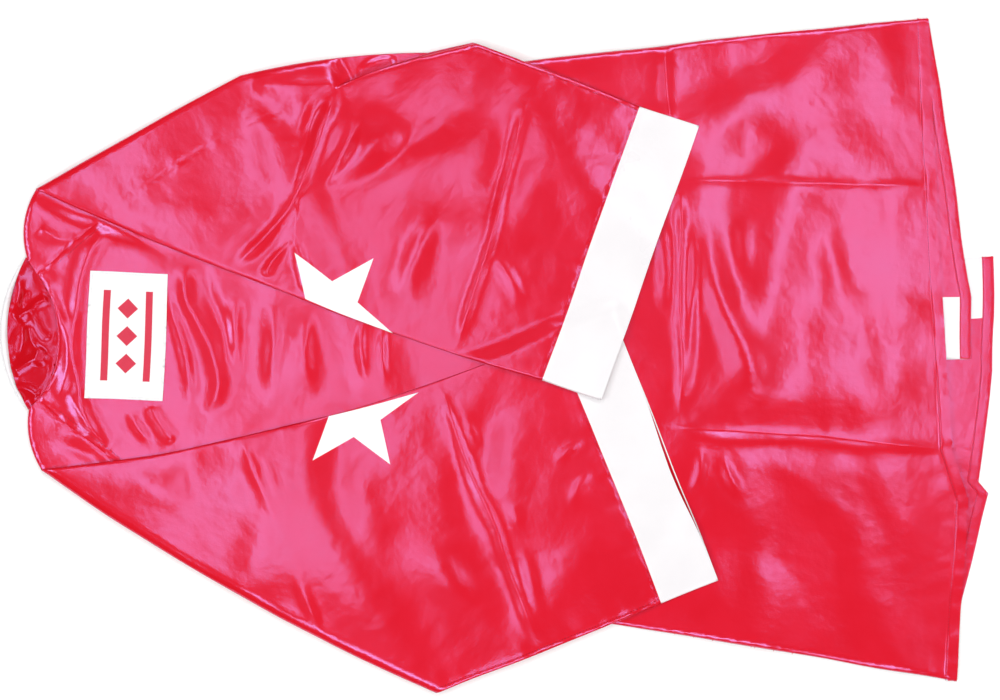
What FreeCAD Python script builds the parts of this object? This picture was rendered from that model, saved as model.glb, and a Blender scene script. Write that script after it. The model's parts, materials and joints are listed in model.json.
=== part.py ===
"""Boxing robe, folded flat with its back up: satin body, raglan sleeves, white bands and cuffs.

Frame: millimetres, +X from the collar to the hem, +Y to the wearer's right, +Z up from the
surface that the robe lies on. The origin is the centre of the robe's box, at that surface.
Each layer of cloth is a plain solid as thick as the loft of that layer. A sleeve is drawn in the
frame of its own fold line and turned over the back about that line.
"""

import FreeCAD
import Part

import math
import os

import Sketcher

# Plain sizes, in millimetres and degrees.
SIZES = {
    "front_cloth": (1.6, "thickness of a front panel or front band"),
    "back_loft": (3.5, "thickness of the back panel with its wrinkles"),
    "hem_width": (15.0, "depth of a turned hem"),
    "hem_cloth": (0.35, "thickness of a turned hem"),
    "thread": (0.9, "width of a row of stitching"),
    "thread_height": (0.3, "how far stitching stands on the cloth"),
    "left_front_level": (0.0, "underside of the left front, which lies lowest"),
    "right_front_level": (2.6, "underside of the right front"),
    "back_level": (5.2, "underside of the back panel"),
    "cap_level": (0.4, "underside of a shoulder cap"),
    "fold_height": (14.4, "height of the roll at a sleeve's fold line"),
    "lining_level": (0.5, "underside of the gathered collar lining"),
    "lining_loft": (11.0, "height of the gathered collar lining"),
    "collar_height": (10.0, "height of the white collar band"),
    "fold_level": (8.95, "height of both sleeve fold axes"),
    "sleeve_lift": (0.5, "from a fold axis up to the sleeve that is turned over it"),
    "sleeve_wall": (1.8, "thickness of one half of a sleeve"),
    "sleeve_gap": (1.9, "slack between the two halves of a sleeve"),
    "sleeve_height": (5.5, "thickness of a flat sleeve: two walls and the slack"),
    "sleeve_side": (2.5, "thickness of a sleeve at its top fold and underarm seam"),
    "cuff_wall": (1.1, "thickness of one wall of a cuff"),
    "lining_wall": (0.7, "thickness of one wall of a cuff lining"),
    "lining_inset": (2.0, "how far a cuff lining stays inside the cuff's mouth"),
    "cuff_depth": (80.0, "width of a cuff, from its seam to its mouth"),
    "right_tilt": (0.92, "slope of the right sleeve, which rests on the left cuff"),
    "underarm_tape": (7.0, "width of the felled underarm seam"),
    "side_seam": (8.0, "width of the felled side seam"),
    "topstitch_inset": (9.0, "from a raglan seam to its row of topstitching"),
    "patch_length": (166.0, "the label's side across the back"),
    "patch_width": (100.0, "the label's side along the back"),
    "patch_height": (0.35, "thickness of the label"),
    "patch_stitch_inset": (3.0, "from the label's edge to its stitching"),
    "patch_turn": (-2.5, "turn of the label on the back, in degrees"),
    "print_height": (0.15, "thickness of a print"),
    "stripe_length": (118.0, "a printed stripe on the label"),
    "stripe_width": (9.0, "width of a printed stripe"),
    "stripe_offset": (27.0, "from the label's middle to a stripe's middle"),
    "diamond_half": (13.0, "half the diagonal of a printed diamond"),
    "diamond_pitch": (36.0, "from one printed diamond to the next"),
    "star_radius": (86.0, "outer radius of the star on a sleeve"),
    "star_waist": (36.0, "inner radius of the star on a sleeve"),
    "star_place": (416.0, "from the shoulder to the star, along the sleeve's top edge"),
    "right_star_gap": (-12.0, "from the sleeve's straight root-to-top line in to its star"),
    "left_star_gap": (27.5, "the same for the left sleeve, whose top edge bows inwards"),
}

# Places on the body, as (x, y).
POINTS = {
    "neck_right": (-596, 107),
    "neck_back": (-569, 25),
    "neck_left": (-595, -57),
    "collar_right": (-612, 131),
    "collar_inner": (-637, 32),
    "collar_outer": (-647, 32),
    "collar_left": (-609, -70),
    "cap_edge_right": (-617, 166),
    "cap_edge_left": (-610, -105),
    "shoulder_right": (-601, 220),
    "shoulder_left": (-595, -148),
    "raglan_right": (-412, 251),
    "raglan_left": (-411, -196),
    "raglan_row_right": (-584, 104),
    "raglan_row_left": (-584, -54),
    "armpit_right": (-201, 351.5),
    "fold_inner": (-201, 352.3),
    "fold_start": (-601.2, 220.4),
    "armpit_left": (-205, -298),
    "side_right": (81, 389),
    "side_left": (159, -350),
    "hem_right": (560, 439),
    "hem_crease": (590, -121),
    "hem_bulge": (612, -186),
    "hem_left": (597, -423),
    "fold_right": (-335, 364),
    "fold_slack": (-225, 386),
    "fold_end": (-92, 394),
    "fold_belly": (-361, -297),
    "sleeve_corner_right": (-33, 407),
    "sleeve_corner_left": (-81, -439),
    "right_front_hem_outer": (577, 348),
    "right_front_hem_middle": (597, 212),
    "right_front_hem_inner": (613, 100),
    "right_band_hem_out": (617, 79),
    "right_band_hem_in": (617, -4),
    "right_band_chest_out": (-180, 62),
    "right_band_chest_in": (-200, -20),
    "right_band_neck_out": (-581, 95),
    "right_band_neck_in": (-563, 34),
    "left_band_hem_out": (647, 52),
    "left_band_hem_in": (647, 131),
    "left_band_chest_out": (-220, -8),
    "left_band_chest_in": (-200, 74),
    "left_band_neck_out": (-581, -47),
    "left_band_neck_in": (-563, 14),
    "left_front_hem_inner": (644, -20),
    "left_front_hem_tuck": (626, -163),
    "left_front_hem_lip": (639, -178),
    "left_front_hem_outer": (605, -318),
    "left_front_hem_side": (592, -421),
    "patch": (-482, 26),
}

# Corners of each folded sleeve, as (along the fold line, away from it towards the body's middle).
SLEEVES = {
    "right": {"root": (0, 0), "corner": (598, 0), "underarm": (780, 147), "top": (548, 446),
              "edge": (287, 252)},
    "left": {"root": (0, 0), "corner": (591, 0), "underarm": (789, 247), "top": (496, 482),
             "edge": (202, 161)},
}
# The sign that turns "towards the body's middle" into the fold frame's own Y.
INWARD = {"right": -1, "left": 1}

doc = FreeCAD.newDocument("boxing_robe")
sheet = doc.addObject("Spreadsheet::Sheet", "Dims")


def fill_sheet():
    """One row per size: what it is, its value, and its alias."""
    cells = {name: value for name, (value, _) in SIZES.items()}
    notes = {name: note for name, (_, note) in SIZES.items()}
    for name, (px, py) in POINTS.items():
        cells[name + "_x"], cells[name + "_y"] = px, py
    for side, corners in SLEEVES.items():
        for name, (along, inward) in corners.items():
            cells[f"{side}_sleeve_{name}_x"] = along
            cells[f"{side}_sleeve_{name}_y"] = INWARD[side] * inward
    for row, (name, value) in enumerate(cells.items(), start=1):
        sheet.set(f"A{row}", notes.get(name, name.replace("_", " ")))
        sheet.set(f"B{row}", str(value))
        sheet.setAlias(f"B{row}", name)
    doc.recompute()


def size(name):
    return float(sheet.get(name))


class Spot:
    """A place in a sketch: its two coordinates as expressions of the sheet and as numbers."""

    def __init__(self, x_terms, y_terms):
        self.terms = (x_terms, y_terms)

    def expression(self, axis):
        return " + ".join(f"{factor!r} * Dims.{name}" for name, factor in self.terms[axis])

    def place(self):
        return FreeCAD.Vector(*(sum(size(n) * f for n, f in t) for t in self.terms), 0)

    def moved(self, dx=(), dy=()):
        return Spot(self.terms[0] + list(dx), self.terms[1] + list(dy))


def spot(name):
    return Spot([(name + "_x", 1.0)], [(name + "_y", 1.0)])


def path(*steps):
    """Edges as (end, through): through is None for a straight edge, or a spot that an arc passes."""
    found = []
    for step in steps:
        end, through = step if isinstance(step, tuple) else (step, None)
        end = spot(end) if isinstance(end, str) else end
        through = spot(through) if isinstance(through, str) else through
        found.append((end, through))
    return found


def shifted(edges, dx=(), dy=()):
    return [
        (end.moved(dx, dy), through and through.moved(dx, dy)) for end, through in edges
    ]


def back_along(edges):
    """The same edges in the other direction. The first edge's through is that of a closing edge."""
    ends = [end for end, _ in edges][::-1]
    throughs = [None] + [through for _, through in edges][:0:-1]
    return list(zip(ends, throughs))


def ribbon(edges, dx=(), dy=()):
    """A closed outline between a path and the same path moved sideways."""
    return edges + back_along(shifted(edges, dx, dy))


def pin(sketch, spot_, geometry, point):
    """Fixes a point of the sketch at a spot, both coordinates bound to the sheet."""
    place = spot_.place()
    for axis, kind in enumerate(("DistanceX", "DistanceY")):
        made = sketch.addConstraint(
            Sketcher.Constraint(kind, -1, 1, geometry, point, place[axis])
        )
        sketch.setExpression(f"Constraints[{made}]", spot_.expression(axis))


def draw(sketch, loop):
    """Draws a closed outline. Each entry is (spot, through): the edge that arrives at the spot."""
    corners = [end for end, _ in loop]
    made = []
    for i, (end, through) in enumerate(loop):
        start = corners[i - 1]
        if through is None:
            edge = sketch.addGeometry(Part.LineSegment(start.place(), end.place()), False)
            made.append((edge, 1, 2))
            continue
        a, b, c = (place.place() for place in (start, through, end))
        turns_left = (b - a).cross(c - b).z > 0
        # A sketch keeps its arcs anticlockwise, so one that turns right is drawn from its end.
        arc = Part.Arc(a, b, c) if turns_left else Part.Arc(c, b, a)
        edge = sketch.addGeometry(arc, False)
        made.append((edge, 1, 2) if turns_left else (edge, 2, 1))
        middle = sketch.addGeometry(Part.Point(through.place()), True)
        pin(sketch, through, middle, 1)
        sketch.addConstraint(Sketcher.Constraint("PointOnObject", middle, 1, edge))
    for i, (edge, first, _) in enumerate(made):
        before, _, last = made[i - 1]
        sketch.addConstraint(Sketcher.Constraint("Coincident", before, last, edge, first))
        pin(sketch, corners[i - 1], edge, first)


def plane(body, role):
    return next(f for f in body.Origin.OriginFeatures if f.Role == role)


def new_sketch(body, name, loops):
    sketch = body.newObject("Sketcher::SketchObject", name)
    sketch.AttachmentSupport = (plane(body, "XY_Plane"), [""])
    sketch.MapMode = "FlatFace"
    for loop in loops:
        draw(sketch, loop)
    return sketch


def slab(label, loops, thickness, level=None, placement=None):
    """A body padded upwards from outlines. level and thickness are expressions of the sheet."""
    body = doc.addObject("PartDesign::Body", label)
    body.Label = label
    sketch = new_sketch(body, label + "_outline", loops)
    pad = body.newObject("PartDesign::Pad", label + "_pad")
    pad.Profile = sketch
    pad.setExpression("Length", thickness)
    sketch.Visibility = False
    if placement is not None:
        body.Placement = placement
    if level is not None:
        body.setExpression("Placement.Base.z", level)
    doc.recompute()
    return body


def hollowed(body, loops, floor, depth):
    """Cuts a flat pocket into a body, from floor + depth down to floor."""
    before = body.Shape.Volume
    sketch = new_sketch(body, body.Label + "_slot", loops)
    sketch.setExpression("AttachmentOffset.Base.z", f"{floor} + {depth}")
    pocket = body.newObject("PartDesign::Pocket", body.Label + "_pocket")
    pocket.Profile = sketch
    pocket.setExpression("Length", depth)
    sketch.Visibility = False
    doc.recompute()
    if not body.Shape.Volume < before:
        raise RuntimeError(f"{body.Label}: the pocket cut nothing")
    return body


# ---------------------------------------------------------------- outlines of the body


RAGLAN_RIGHT = path(("armpit_right", "raglan_right"))
RAGLAN_LEFT = path(("neck_left", "raglan_left"))
BACK_HEM = path("hem_right", "hem_crease", "hem_bulge", "hem_left")
RIGHT_HEM = path(
    "hem_right", "right_front_hem_outer", "right_front_hem_middle", "right_front_hem_inner",
    "right_band_hem_out", "right_band_hem_in",
)
LEFT_HEM = path(
    "left_band_hem_in", "left_band_hem_out", "left_front_hem_inner", "left_front_hem_tuck",
    "left_front_hem_lip", "left_front_hem_outer", "left_front_hem_side",
)


def back():
    outline = (
        path(("neck_right", "neck_back")) + RAGLAN_RIGHT + path("side_right") + BACK_HEM
        + path("side_left", "armpit_left") + RAGLAN_LEFT
    )
    slab("back_panel", [outline], "Dims.back_loft", "Dims.back_level")


def fronts():
    right = (
        path("right_band_neck_out", "neck_right") + RAGLAN_RIGHT + path("side_right")
        + RIGHT_HEM[:-1] + path("right_band_chest_out")
    )
    left = (
        LEFT_HEM[1:] + path("side_left", "armpit_left") + RAGLAN_LEFT
        + path("left_band_neck_out", "left_band_chest_out")
    )
    slab("right_front_panel", [right], "Dims.front_cloth", "Dims.right_front_level")
    slab("left_front_panel", [left], "Dims.front_cloth", "Dims.left_front_level")
    for side in ("right", "left"):
        band = path(*(
            f"{side}_band_{place}"
            for place in ("hem_out", "hem_in", "chest_in", "neck_in", "neck_out", "chest_out")
        ))
        slab(f"{side}_front_band", [band], "Dims.front_cloth", f"Dims.{side}_front_level")


def side_seams():
    """The felled seams that join each front to the back, from the armpit to the hem."""
    for side, inward in (("right", -1.0), ("left", 1.0)):
        hem_top = spot(f"hem_{side}").moved([("hem_width", -1.6)], [("thread", inward)])
        line = path(f"armpit_{side}", f"side_{side}", hem_top)
        level = f"Dims.{side}_front_level + Dims.front_cloth"
        slab(f"{side}_side_seam", [ribbon(line, dy=[("side_seam", inward)])],
             f"Dims.back_level - Dims.{side}_front_level - Dims.front_cloth", level)


def hems():
    """The turned hems: the fronts' lie on their inner faces, the back's under the back panel."""
    inland = [("hem_width", -1.0)]
    on_front = "Dims.{0}_front_level + Dims.front_cloth"
    slab("back_hem", [ribbon(BACK_HEM, inland)], "Dims.hem_cloth",
         "Dims.back_level - Dims.hem_cloth")
    slab("right_front_hem", [ribbon(RIGHT_HEM, inland)], "Dims.hem_cloth",
         on_front.format("right"))
    slab("left_front_hem", [ribbon(LEFT_HEM, inland)], "Dims.hem_cloth",
         on_front.format("left"))


def caps():
    """The part of each raglan sleeve between its raglan seam and its fold line."""
    right = (
        path("collar_right", ("shoulder_right", "cap_edge_right"))
        + path("armpit_right") + path(("neck_right", "raglan_right"))
    )
    left = (
        path("collar_left", ("shoulder_left", "cap_edge_left"))
        + path("sleeve_corner_left", "armpit_left") + RAGLAN_LEFT
    )
    rise = "Dims.back_level + Dims.back_loft - Dims.cap_level"
    slab("right_shoulder_cap", [right], rise, "Dims.cap_level")
    slab("left_shoulder_cap", [left], rise, "Dims.cap_level")


def folds():
    """The slack roll of cloth outside each fold line."""
    right = path(
        "fold_start", "fold_right", ("fold_end", "fold_slack"), "fold_inner"
    )
    left = path("shoulder_left", ("sleeve_corner_left", "fold_belly"))
    slab("right_shoulder_fold", [right], "Dims.fold_height", "Dims.cap_level")
    slab("left_shoulder_fold", [left], "Dims.fold_height", "Dims.cap_level")


def collar():
    lining = path(
        "neck_left", ("neck_right", "neck_back"), "collar_right",
        ("collar_left", "collar_inner"),
    )
    band = path(("collar_right", "collar_outer"), ("collar_left", "collar_inner"))
    slab("collar_lining", [lining], "Dims.lining_loft", "Dims.lining_level")
    slab("collar_band", [band], "Dims.collar_height", "Dims.left_front_level")


def body_stitching():
    """Rows of stitching on the body, each a thin thread that lies on its cloth."""
    on_back = "Dims.back_level + Dims.back_loft"
    inset = [("hem_width", -1.0)]
    across = [("thread", 1.0)]

    def row(label, edges, level, dx=(), dy=()):
        slab(label, [ribbon(edges, dx, dy)], "Dims.thread_height", level)

    on_hem = "Dims.{0}_front_level + Dims.front_cloth + Dims.hem_cloth"
    row("back_hem_stitching", shifted(BACK_HEM, inset), on_back, across)
    row("right_front_hem_stitching", shifted(RIGHT_HEM, inset), on_hem.format("right"), across)
    row("left_front_hem_stitching", shifted(LEFT_HEM, inset), on_hem.format("left"), across)
    seams = {
        "right": (path("raglan_row_right") + RAGLAN_RIGHT, -1.0),
        "left": (path("armpit_left", ("raglan_row_left", "raglan_left")), 1.0),
    }
    for side, (seam, inward) in seams.items():
        inside = shifted(seam, dy=[("topstitch_inset", inward)])
        row(f"{side}_raglan_stitching", inside, on_back, dy=[("thread", inward)])
    row("neckline_stitching", path("neck_left", ("neck_right", "neck_back")), on_back, across)


# ---------------------------------------------------------------- label


def rectangle(x_half, y_half, x_middle=(), y_middle=()):
    """A rectangle about a middle, from (name, factor) terms for its half sides."""
    return path(*(
        Spot(list(x_middle) + [(n, f * sx) for n, f in x_half],
             list(y_middle) + [(n, f * sy) for n, f in y_half])
        for sx, sy in ((-1, -1), (1, -1), (1, 1), (-1, 1))
    ))


def patch_frame(level):
    """A placement at the label's middle, turned with it, at a height."""
    turn = FreeCAD.Rotation(FreeCAD.Vector(0, 0, 1), size("patch_turn"))
    return FreeCAD.Placement(FreeCAD.Vector(size("patch_x"), size("patch_y"), level), turn)


def label():
    top = size("back_level") + size("back_loft")
    wide, tall = [("patch_width", 0.5)], [("patch_length", 0.5)]
    edge = rectangle(wide, tall)
    slab("name_patch", [edge], "Dims.patch_height", placement=patch_frame(top))
    outer = [("patch_stitch_inset", -1.0)]
    inner = outer + [("thread", -1.0)]
    frame = [rectangle(wide + t, tall + t) for t in (outer, inner)]
    on_patch = patch_frame(top + size("patch_height"))
    slab("name_patch_stitching", frame, "Dims.thread_height", placement=on_patch)
    prints = [
        rectangle([("stripe_width", 0.5)], [("stripe_length", 0.5)],
                  x_middle=[("stripe_offset", side)])
        for side in (-1.0, 1.0)
    ]
    for step in (-1.0, 0.0, 1.0):
        prints.append(path(*(
            Spot([("diamond_half", dx)], [("diamond_half", dy), ("diamond_pitch", step)])
            for dx, dy in ((-1.0, 0.0), (0.0, -1.0), (1.0, 0.0), (0.0, 1.0))
        )))
    grouped("name_patch_print", [
        slab(f"print_{number}", [loop], "Dims.print_height", placement=on_patch)
        for number, loop in enumerate(prints)
    ])


# ---------------------------------------------------------------- sleeves


def fold_frame(side, height):
    """The frame of a sleeve: X along its fold line from the shoulder, at a height above it."""
    start, end = (spot(f"{name}_{side}").place() for name in ("shoulder", "sleeve_corner"))
    start.z = size("fold_level")
    along = end - FreeCAD.Vector(start.x, start.y, 0)
    heading = math.degrees(math.atan2(along.y, along.x))
    tilt = -size("right_tilt") if side == "right" else 0.0
    turn = FreeCAD.Rotation(FreeCAD.Vector(0, 0, 1), heading).multiply(
        FreeCAD.Rotation(FreeCAD.Vector(1, 0, 0), tilt)
    )
    return FreeCAD.Placement(start + turn.multVec(FreeCAD.Vector(0, 0, height)), turn)


class Cut:
    """The lengths and directions of one folded sleeve, in its fold frame."""

    def __init__(self, side):
        self.side = side
        self.root, self.corner, self.underarm, self.top, self.bow = (
            spot(f"{side}_sleeve_{name}")
            for name in ("root", "corner", "underarm", "top", "edge")
        )
        seam = (self.top.place() - self.underarm.place()).normalize()
        self.seam = seam
        self.outward = FreeCAD.Vector(seam.y, -seam.x, 0) * INWARD[side]
        self.edge = self.top.place().normalize()

    def along_mouth(self, spot_, name, factor=1.0):
        """A spot moved towards the cuff's mouth by a named size."""
        return spot_.moved(
            [(name, self.outward.x * factor)], [(name, self.outward.y * factor)]
        )

    def along_seam(self, spot_, name, factor):
        """A spot moved along the cuff seam, towards the top edge for a positive factor."""
        return spot_.moved([(name, self.seam.x * factor)], [(name, self.seam.y * factor)])


def sleeve(cut):
    """The folded-over part of a raglan sleeve: a flat tube, open at its cuff end."""
    outline = path((cut.root, cut.bow), cut.corner, cut.underarm, cut.top)
    body = slab(f"{cut.side}_sleeve", [outline], "Dims.sleeve_height",
                placement=fold_frame(cut.side, size("sleeve_lift")))
    inward = INWARD[cut.side]
    bow = cut.bow.moved([("sleeve_side", 0.8)], [("sleeve_side", -inward)])
    inside = path(
        (cut.root.moved([("sleeve_side", 3.0)], [("sleeve_side", inward)]), bow),
        cut.corner.moved([("sleeve_side", -0.35)], [("sleeve_side", inward)]),
        cut.along_mouth(cut.along_seam(cut.underarm, "sleeve_side", 1.0), "sleeve_side"),
        cut.along_mouth(cut.along_seam(cut.top, "sleeve_side", -1.2), "sleeve_side"),
    )
    hollowed(body, [inside], "Dims.sleeve_wall", "Dims.sleeve_gap")


def cuff(cut):
    """A white band sewn round the sleeve's end, and the red lining inside it."""
    seam_under, seam_top = cut.underarm, cut.top
    mouth_under, mouth_top = (cut.along_mouth(s, "cuff_depth") for s in (seam_under, seam_top))
    bottom = size("sleeve_lift")
    full = "Dims.sleeve_height"
    body = slab(f"{cut.side}_cuff", [path(seam_under, mouth_under, mouth_top, seam_top)],
                full, placement=fold_frame(cut.side, bottom))
    inside = [
        cut.along_seam(cut.along_mouth(s, "lining_inset", out), "cuff_wall", towards)
        for s, out, towards in (
            (seam_under, -1.0, 1.0), (mouth_under, 1.0, 1.0),
            (mouth_top, 1.0, -1.0), (seam_top, -1.0, -1.0),
        )
    ]
    hollowed(body, [path(*inside)], "Dims.cuff_wall", f"{full} - 2 * Dims.cuff_wall")
    skin = [
        cut.along_seam(cut.along_mouth(s, "lining_inset", out), "cuff_wall", towards)
        for s, out, towards in (
            (seam_under, 0.0, 1.2), (mouth_under, -1.0, 1.2),
            (mouth_top, -1.0, -1.2), (seam_top, 0.0, -1.2),
        )
    ]
    rise = "Dims.sleeve_height - 2 * Dims.cuff_wall"
    lining = slab(f"{cut.side}_cuff_lining", [path(*skin)], rise,
                  placement=fold_frame(cut.side, bottom + size("cuff_wall")))
    core = [
        cut.along_seam(cut.along_mouth(s, "lining_inset", out), "cuff_wall", towards)
        for s, out, towards in (
            (seam_under, -1.0, 2.0), (mouth_under, 1.0, 2.0),
            (mouth_top, 1.0, -2.0), (seam_top, -1.0, -2.0),
        )
    ]
    hollowed(lining, [path(*core)], "Dims.lining_wall", f"{rise} - 2 * Dims.lining_wall")


def sleeve_stitching(cut):
    """The row beside the cuff seam and the felled underarm seam, on the sleeve's upper half."""
    top = size("sleeve_lift") + size("sleeve_height")
    near = [cut.along_mouth(s, "thread", -3.0) for s in (cut.underarm, cut.top)]
    far = [cut.along_mouth(s, "thread", -2.0) for s in (cut.top, cut.underarm)]
    ends = [cut.along_seam(s, "thread", f) for s, f in zip(near + far, (2.0, -2.0, -2.0, 2.0))]
    slab(f"{cut.side}_cuff_stitching", [path(*ends)], "Dims.thread_height",
         placement=fold_frame(cut.side, top))
    inner = [
        cut.along_seam(s, "underarm_tape", 1.0) for s in (cut.underarm, cut.corner)
    ]
    tape = [cut.corner, cut.along_mouth(cut.underarm, "thread", -3.0),
            cut.along_mouth(inner[0], "thread", -3.0), inner[1]]
    slab(f"{cut.side}_underarm_seam", [path(*tape)], "Dims.thread_height",
         placement=fold_frame(cut.side, top))


def star(cut):
    """A five-pointed star printed round the sleeve's top fold, half on each of its faces."""
    edge = cut.edge
    inward = FreeCAD.Vector(edge.y, -edge.x, 0) * INWARD[cut.side]
    points = []
    for step in range(6):
        angle = math.radians(36 * step)
        radius = "star_radius" if step % 2 == 0 else "star_waist"
        ray = edge * math.cos(angle) + inward * math.sin(angle)
        points.append(Spot(
            [("star_place", edge.x), (radius, ray.x), (f"{cut.side}_star_gap", inward.x)],
            [("star_place", edge.y), (radius, ray.y), (f"{cut.side}_star_gap", inward.y)],
        ))
    top = size("sleeve_lift") + size("sleeve_height")
    under = size("sleeve_lift") - size("print_height")
    halves = [
        slab(f"{cut.side}_star_{name}", [path(*points)], "Dims.print_height",
             placement=fold_frame(cut.side, level))
        for name, level in (("front", top), ("back", under))
    ]
    grouped(f"{cut.side}_sleeve_star", halves)


def grouped(label, pieces):
    """One node made of separate pieces that belong together."""
    group = doc.addObject("Part::Compound", label)
    group.Label = label
    group.Links = pieces
    doc.recompute()
    return group


def check_document():
    for obj in doc.Objects:
        if "Invalid" in obj.State or "Error" in obj.State:
            raise RuntimeError(f"{obj.Label} failed: {obj.State}")


def write_parts():
    os.makedirs("parts", exist_ok=True)
    groups = [obj for obj in doc.Objects if obj.TypeId == "Part::Compound"]
    inside_groups = [piece for group in groups for piece in group.Links]
    bodies = [obj for obj in doc.Objects if obj.TypeId == "PartDesign::Body"]
    for obj in groups + [body for body in bodies if body not in inside_groups]:
        shape = obj.Shape
        if shape.isNull() or not shape.isValid():
            raise RuntimeError(f"{obj.Label} has no valid shape")
        shape.exportStep(os.path.join("parts", obj.Label + ".step"))


def main():
    fill_sheet()
    back()
    fronts()
    side_seams()
    hems()
    caps()
    folds()
    collar()
    body_stitching()
    label()
    for side in ("right", "left"):
        cut = Cut(side)
        sleeve(cut)
        cuff(cut)
        sleeve_stitching(cut)
        star(cut)
    check_document()
    write_parts()


main()
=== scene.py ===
"""Looks of the folded boxing robe: wrinkled satin sheets, gathered collar, cuffs, stitching."""

import functools
import json
import math

import bpy
import numpy as np
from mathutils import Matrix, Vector
from mathutils.geometry import delaunay_2d_cdt


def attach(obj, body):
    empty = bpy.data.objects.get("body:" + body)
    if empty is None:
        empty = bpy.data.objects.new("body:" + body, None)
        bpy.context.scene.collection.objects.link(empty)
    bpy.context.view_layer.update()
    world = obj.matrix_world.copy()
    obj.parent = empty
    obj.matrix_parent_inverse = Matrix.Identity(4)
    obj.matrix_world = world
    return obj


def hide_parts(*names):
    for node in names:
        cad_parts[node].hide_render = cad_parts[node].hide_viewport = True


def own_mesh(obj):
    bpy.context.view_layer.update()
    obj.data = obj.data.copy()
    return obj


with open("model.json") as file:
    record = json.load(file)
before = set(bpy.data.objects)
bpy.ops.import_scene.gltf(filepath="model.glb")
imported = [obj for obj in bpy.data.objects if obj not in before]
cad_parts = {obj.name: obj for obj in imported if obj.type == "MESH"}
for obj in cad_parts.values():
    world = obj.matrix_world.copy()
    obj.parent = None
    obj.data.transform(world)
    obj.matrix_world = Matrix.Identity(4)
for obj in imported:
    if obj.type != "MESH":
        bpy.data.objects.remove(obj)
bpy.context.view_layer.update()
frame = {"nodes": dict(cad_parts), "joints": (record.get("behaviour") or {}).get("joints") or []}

MM = 0.001
SIDES = ("right", "left")

# Heights above the floor, in metres: the lowest cloth, then the layers from the bottom up.
LOWEST = 0.9 * MM
LEFT_FRONT = LOWEST
RIGHT_FRONT = 3.2 * MM
BACK = 7.6 * MM
LEFT_SLEEVE = 11.8 * MM
RIGHT_SLEEVE = 12.2 * MM
EDGE_LEVEL = 2.2 * MM
ROLL_LEVEL = 5.0 * MM

CLOTH = 0.8 * MM  # from one sheet to the next that lies on it
PRINT = 0.12 * MM  # from a sheet to the print on it
EDGE_REACH = 5 * MM  # how far in a folded edge is rounded
ON_LINE = 0.9 * MM  # a point nearer a line than this lies on it
SAME_PLACE = 1e-5


# --- small number tools


def smooth(value):
    """0 below 0, 1 above 1, and an even S-shaped rise between them."""
    value = np.clip(value, 0.0, 1.0)
    return value * value * (3.0 - 2.0 * value)


@functools.lru_cache(None)
def lattice(seed):
    """A table of random values that depends on the seed alone."""
    return np.random.default_rng(seed).uniform(-1.0, 1.0, (256, 256))


def spline_weights(share):
    """The four weights of a smooth curve through a row of values, at a share of one step."""
    rest = 1 - share
    return (rest ** 3 / 6, (4 - 6 * share ** 2 + 3 * share ** 3) / 6,
            (4 - 6 * rest ** 2 + 3 * rest ** 3) / 6, share ** 3 / 6)


def read_table(table, cell):
    """A table of values read smoothly between its cells; it repeats outside its borders."""
    low = np.floor(cell).astype(int)
    across, along = (spline_weights(cell[:, k] - low[:, k]) for k in (0, 1))
    total = np.zeros(len(cell))
    for i in range(4):
        row = (low[:, 0] + i - 1) % table.shape[0]
        for j in range(4):
            total += across[i] * along[j] * table[row, (low[:, 1] + j - 1) % table.shape[1]]
    return total


def noise(xy, scale, seed):
    """Smooth noise, mostly between -1 and 1 over the plane, with bumps about scale across."""
    return 2.0 * read_table(lattice(seed), turned(xy, 37.0 * seed) / scale + 64.0)


def turned(xy, degrees, stretch=1.0):
    """Coordinates along and across a direction; the pattern is stretch times longer along it."""
    angle = math.radians(degrees)
    along = xy[:, 0] * math.cos(angle) + xy[:, 1] * math.sin(angle)
    across = xy[:, 1] * math.cos(angle) - xy[:, 0] * math.sin(angle)
    return np.stack([along / stretch, across], axis=1)


def warped(xy, scale, amount, seed):
    """Points pushed about by noise, so that a pattern read at them bends."""
    push = np.stack([noise(xy, scale, seed), noise(xy, scale, seed + 1)], axis=1)
    return xy + amount * push


def to_segments(xy, line, closed=False):
    """For each point: distance to a line of points, signed side, and share of length along it."""
    line = np.asarray(line, float)
    ends = np.roll(line, -1, axis=0) if closed else line[1:]
    starts = line if closed else line[:-1]
    lengths = np.linalg.norm(ends - starts, axis=1)
    before = np.concatenate([[0.0], np.cumsum(lengths)])
    best = np.full(len(xy), np.inf)
    side = np.zeros(len(xy))
    along = np.zeros(len(xy))
    for k, (start, end, length) in enumerate(zip(starts, ends, lengths)):
        if length < 1e-9:
            continue
        direction = (end - start) / length
        away = xy - start
        place = np.clip(away @ direction, 0.0, length)
        offset = away - place[:, None] * direction
        distance = np.hypot(offset[:, 0], offset[:, 1])
        closer = distance < best
        best = np.where(closer, distance, best)
        turn = direction[0] * away[:, 1] - direction[1] * away[:, 0]
        side = np.where(closer, np.sign(turn), side)
        along = np.where(closer, before[k] + place, along)
    return best, side, along / max(before[-1], 1e-9)


def inside(xy, polygon):
    """True for each point inside a closed polygon."""
    polygon = np.asarray(polygon, float)
    found = np.zeros(len(xy), bool)
    for (x1, y1), (x2, y2) in zip(polygon, np.roll(polygon, -1, axis=0)):
        crosses = (y1 > xy[:, 1]) != (y2 > xy[:, 1])
        if y1 == y2:
            continue
        reach = x1 + (xy[:, 1] - y1) * (x2 - x1) / (y2 - y1)
        found ^= crosses & (xy[:, 0] < reach)
    return found


def depth_inside(xy, polygon):
    """Distance to a polygon's border, positive inside it and negative outside."""
    distance, _, _ = to_segments(xy, polygon, closed=True)
    return np.where(inside(xy, polygon), distance, -distance)


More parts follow.
